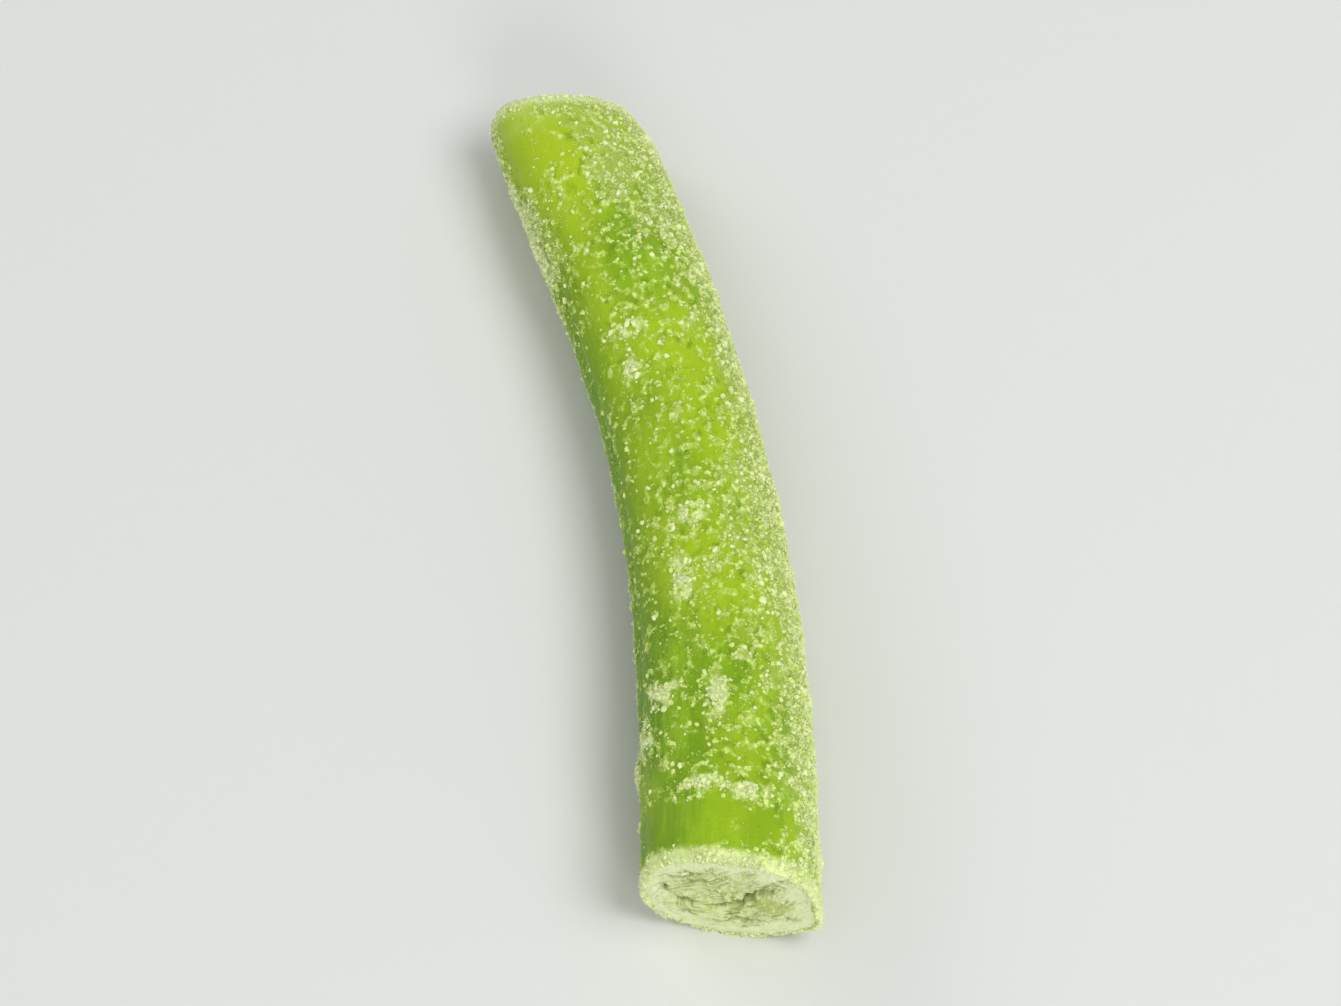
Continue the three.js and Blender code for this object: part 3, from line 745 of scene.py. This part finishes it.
def frostTree(name, form, seed):
    tree, given = newTree(name, form)
    add = partial(addNode, tree)
    draws = ("place", "size", "tone", "lean", "stretch", "chip", "spin")
    seeds = {draw: seed + 100 * i for i, draw in enumerate(draws)}
    straight = add("GeometryNodeInputNamedAttribute", {"Name": "straight"}, data_type="FLOAT_VECTOR")
    frost, share, clump, rim, tone, size = (
        add("GeometryNodeInputNamedAttribute", {"Name": label}, data_type="FLOAT")
        for label in ("frost", "share", "clump", "rim", "tone", "grainSize"))

    # where grains lie: on frosted skin, thickest in the clumps, and a few on the cuts
    clumped = blotches(tree, straight, **grainForm["clump"])
    for more in (clump, given["Clump Share"]):
        clumped = add("ShaderNodeMath", {0: clumped, 1: more}, operation="MULTIPLY")
    frosted = add("ShaderNodeMath", {0: frost, 1: given["Frost Power"]}, operation="POWER")
    gathered = add("ShaderNodeMapRange", {
        0: frostSpecks(tree, straight, frost), 3: grainForm["apart"], 4: grainForm["gathered"]})
    gathered = add("ShaderNodeMath", {0: gathered, 1: blotches(tree, straight, **grainForm["field"])},
                   operation="MULTIPLY")
    cover = add("ShaderNodeMath", {0: frosted, 1: gathered, 2: clumped}, operation="MULTIPLY_ADD")
    onCut = add("ShaderNodeMath", {0: share, 1: grainForm["cutBelow"]}, operation="LESS_THAN")
    cover = add("GeometryNodeSwitch", {"Switch": onCut, "False": cover, "True": given["Cut Share"]},
                input_type="FLOAT")
    perSquareMetre = add("ShaderNodeMath", {0: given["Density"], 1: 1 / mm ** 2}, operation="MULTIPLY")
    density = add("ShaderNodeMath", {0: cover, 1: perSquareMetre}, operation="MULTIPLY")
    points = add("GeometryNodeDistributePointsOnFaces", {
        "Mesh": given["Geometry"], "Density": density, "Seed": seeds["place"]}).outputs

    # each grain's size, most of them small, and its tone, kept on its point
    luck = add("FunctionNodeRandomValue", {2: 0.0, 3: 1.0, "Seed": seeds["size"]}, data_type="FLOAT")
    luck = add("ShaderNodeMath", {0: luck, 1: 2.0}, operation="POWER")
    smallest, largest = (add("ShaderNodeMath", {0: given[label], 1: mm}, operation="MULTIPLY")
                         for label in ("Smallest", "Largest"))
    drawnSize = add("ShaderNodeMapRange", {0: luck, 3: smallest, 4: largest})
    drawnTone = add("FunctionNodeRandomValue", {2: 0.0, 3: 1.0, "Seed": seeds["tone"]}, data_type="FLOAT")
    kept = points["Points"]
    for label, drawn in (("grainSize", drawnSize), ("tone", drawnTone)):
        kept = add("GeometryNodeStoreNamedAttribute", {"Geometry": kept, "Name": label, "Value": drawn},
                   data_type="FLOAT", domain="POINT")
    sink = add("ShaderNodeMath", {0: size, 1: given["Sink"]}, operation="MULTIPLY")
    inward = add("ShaderNodeMath", {0: sink, 1: -1.0}, operation="MULTIPLY")
    inward = add("ShaderNodeVectorMath", {0: points["Normal"], "Scale": inward}, operation="SCALE")
    sunk = add("GeometryNodeSetPosition", {"Geometry": kept, "Offset": inward})

    # an uneven faceted grain, turned at random or, for a needle, nearly upright
    if name in grainForm["fourSided"]:
        grain = add("GeometryNodeMeshCone", {"Vertices": 3, "Radius Bottom": 1.0, "Depth": 1.4})
    elif name in grainForm["eightSided"]:
        grain = add("GeometryNodeMeshUVSphere", {"Segments": 4, "Rings": 2, "Radius": 1.0})
    else:
        grain = add("GeometryNodeMeshIcoSphere", {"Radius": 1.0, "Subdivisions": 1})
    upright = add("ShaderNodeVectorMath", {0: points["Normal"], "Scale": given["Upright"]},
                  operation="SCALE")
    lean, chip = (
        add("FunctionNodeRandomValue", {0: (-grainForm[draw],) * 3, 1: (grainForm[draw],) * 3,
                                        "Seed": seeds[draw]}, data_type="FLOAT_VECTOR")
        for draw in ("lean", "chip"))
    axis = add("ShaderNodeVectorMath", {0: upright, 1: lean}, operation="ADD")
    turn = add("FunctionNodeAlignRotationToVector", {"Vector": axis}, axis="Z")
    spin = add("FunctionNodeRandomValue", {2: 0.0, 3: 2 * math.pi, "Seed": seeds["spin"]}, data_type="FLOAT")
    spin = add("ShaderNodeCombineXYZ", {2: spin})
    turn = add("FunctionNodeRotateRotation", {"Rotation": turn, "Rotate By": spin}, rotation_space="LOCAL")
    low, high = grainForm["stretch"]
    stretch = add("FunctionNodeRandomValue", {0: (low,) * 3, 1: (high,) * 3, "Seed": seeds["stretch"]},
                  data_type="FLOAT_VECTOR")
    slender = add("ShaderNodeCombineXYZ", {0: 1.0, 1: 1.0, 2: given["Slender"]})
    stretch = add("ShaderNodeVectorMath", {0: stretch, 1: slender}, operation="MULTIPLY")
    scale = add("ShaderNodeVectorMath", {0: stretch, "Scale": size}, operation="SCALE")
    grains = add("GeometryNodeInstanceOnPoints", {
        "Points": sunk, "Instance": grain, "Rotation": turn, "Scale": scale})
    real = add("GeometryNodeRealizeInstances", {"Geometry": grains})
    chipping = add("ShaderNodeVectorMath", {0: chip, "Scale": size}, operation="SCALE")
    chipped = add("GeometryNodeSetPosition", {"Geometry": real, "Offset": chipping})

    # whiter where the frost is thick, in clumps, along the edge of a cut and on it
    whiter = tone
    fields = {"frost": frost, "clump": clump, "rim": rim, "onCut": onCut}
    for label, more in grainForm["whiter"].items():
        whiter = add("ShaderNodeMath", {0: fields[label], 1: more, 2: whiter}, operation="MULTIPLY_ADD")
    clear = add("ShaderNodeMath", {0: whiter, 1: given["Clear Share"]}, operation="LESS_THAN")
    white = add("ShaderNodeMath", {0: whiter, 1: given["White Share"]}, operation="ADD")
    white = add("ShaderNodeMath", {0: white, 1: 1.0}, operation="GREATER_THAN")
    coated = restOnFloor(tree, chipped)
    for material, chosen in ((paleIce, True), (clearIce, clear), (whiteIce, white)):
        coated = add("GeometryNodeSetMaterial", {
            "Geometry": coated, "Selection": chosen, "Material": material})
    add("NodeGroupOutput", {"Geometry": coated})
    return tree


print("frost grains")
for seed, (name, form) in enumerate(frostPieces.items(), grainForm["firstSeed"]):
    frostMesh = applyTree(pod, frostTree(name, form, seed), form)
    frostMesh.name = name
    piece = bpy.data.objects.new(name, frostMesh)
    bpy.context.scene.collection.objects.link(piece)
    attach(piece, "root")
    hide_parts("bean_pod")
    print(name, "triangles", sum(len(p.vertices) - 2 for p in frostMesh.polygons))


stageForm = {  # a flat floor that sweeps up all round, in metres
    "flat": 0.55, "sweep": 0.5, "steps": 24, "sides": 96, "floorColour": "#d6d7d3",
    "glowFrom": 0.2, "glowFull": 0.5, "glow": 0.26,  # it glows towards the sweep, so that it stays as pale
}


def mattePaper():
    material, tree, add = newMaterial("mattePaper")
    away = add("ShaderNodeVectorMath", {0: add("ShaderNodeTexCoord").outputs["Object"]}, operation="LENGTH")
    glow = add("ShaderNodeMapRange", {0: away, 1: stageForm["glowFrom"], 2: stageForm["glowFull"],
                                      3: 0.0, 4: stageForm["glow"]}, interpolation_type="SMOOTHSTEP")
    shader = add("ShaderNodeBsdfPrincipled", {
        "Base Color": stageForm["floorColour"], "Roughness": 0.9,
        "Emission Color": stageForm["floorColour"], "Emission Strength": glow})
    add("ShaderNodeOutputMaterial", {"Surface": shader})
    material.cycles.emission_sampling = "NONE"  # it glows, and isn't a lamp
    return material


print("floor, lights and camera")
flat, sweep, sides = stageForm["flat"], stageForm["sweep"], stageForm["sides"]
turns = np.linspace(0, 0.5 * math.pi, stageForm["steps"] + 1)
profile = [(flat + sweep * math.sin(turn), sweep * (1 - math.cos(turn))) for turn in turns]
corners = [(r * math.cos(2 * math.pi * k / sides), r * math.sin(2 * math.pi * k / sides), z)
           for r, z in profile for k in range(sides)]
faces = [tuple(range(sides))]
for i in range(len(profile) - 1):
    for k in range(sides):
        low, high, ahead = i * sides, (i + 1) * sides, (k + 1) % sides
        faces.append((low + k, high + k, high + ahead, low + ahead))
floorMesh = bpy.data.meshes.new("floor")
floorMesh.from_pydata(corners, [], faces)
floorMesh.polygons.foreach_set("use_smooth", [True] * len(faces))
floorMesh.materials.append(mattePaper())
floor = bpy.data.objects.new("floor", floorMesh)
bpy.context.scene.collection.objects.link(floor)

lightForm = {
    "roomColour": "#f4f6fb", "roomStrength": 0.43,
    "softboxes": {  # place and width in metres, and watts
        "keySoftbox": ((0.14, 0.2, 0.45), 0.28, 1.5),
        "fillSoftbox": ((0.45, 0.0, 0.25), 0.3, 0.8),
        "edgeSoftbox": ((-0.28, -0.28, 0.26), 0.25, 0.38),  # for the inner side and the narrow cut's edge
    },
}
world = bpy.data.worlds.new("paleRoom")
world.use_nodes = True
world.node_tree.nodes["Background"].inputs[0].default_value = linearColour(lightForm["roomColour"])
world.node_tree.nodes["Background"].inputs[1].default_value = lightForm["roomStrength"]
bpy.context.scene.world = world
for name, (place, width, watts) in lightForm["softboxes"].items():
    data = bpy.data.lights.new(name, "AREA")
    data.shape = "DISK"
    data.size = width
    data.energy = watts
    lamp = bpy.data.objects.new(name, data)
    lamp.location = place
    lamp.rotation_euler = (-Vector(place)).to_track_quat("-Z", "Y").to_euler()
    bpy.context.scene.collection.objects.link(lamp)

cameraForm = {  # angles in degrees, lens in millimetres, the rest in metres
    "azimuth": 79.1, "elevation": 62.0, "lens": 200.0, "distance": 0.345, "aim": (0.0, 0.0, 0.0035),
}
azimuth, elevation = math.radians(cameraForm["azimuth"]), math.radians(cameraForm["elevation"])
back = Vector((math.sin(azimuth) * math.cos(elevation), -math.cos(azimuth) * math.cos(elevation),
               math.sin(elevation)))
cameraData = bpy.data.cameras.new("camera")
cameraData.lens = cameraForm["lens"]
cameraData.clip_start, cameraData.clip_end = 0.01, 10
camera = bpy.data.objects.new("camera", cameraData)
camera.location = Vector(cameraForm["aim"]) + back * cameraForm["distance"]
camera.rotation_euler = (-back).to_track_quat("-Z", "Y").to_euler()
bpy.context.scene.collection.objects.link(camera)
bpy.context.scene.camera = camera
bpy.context.scene.view_settings.view_transform = "Standard"
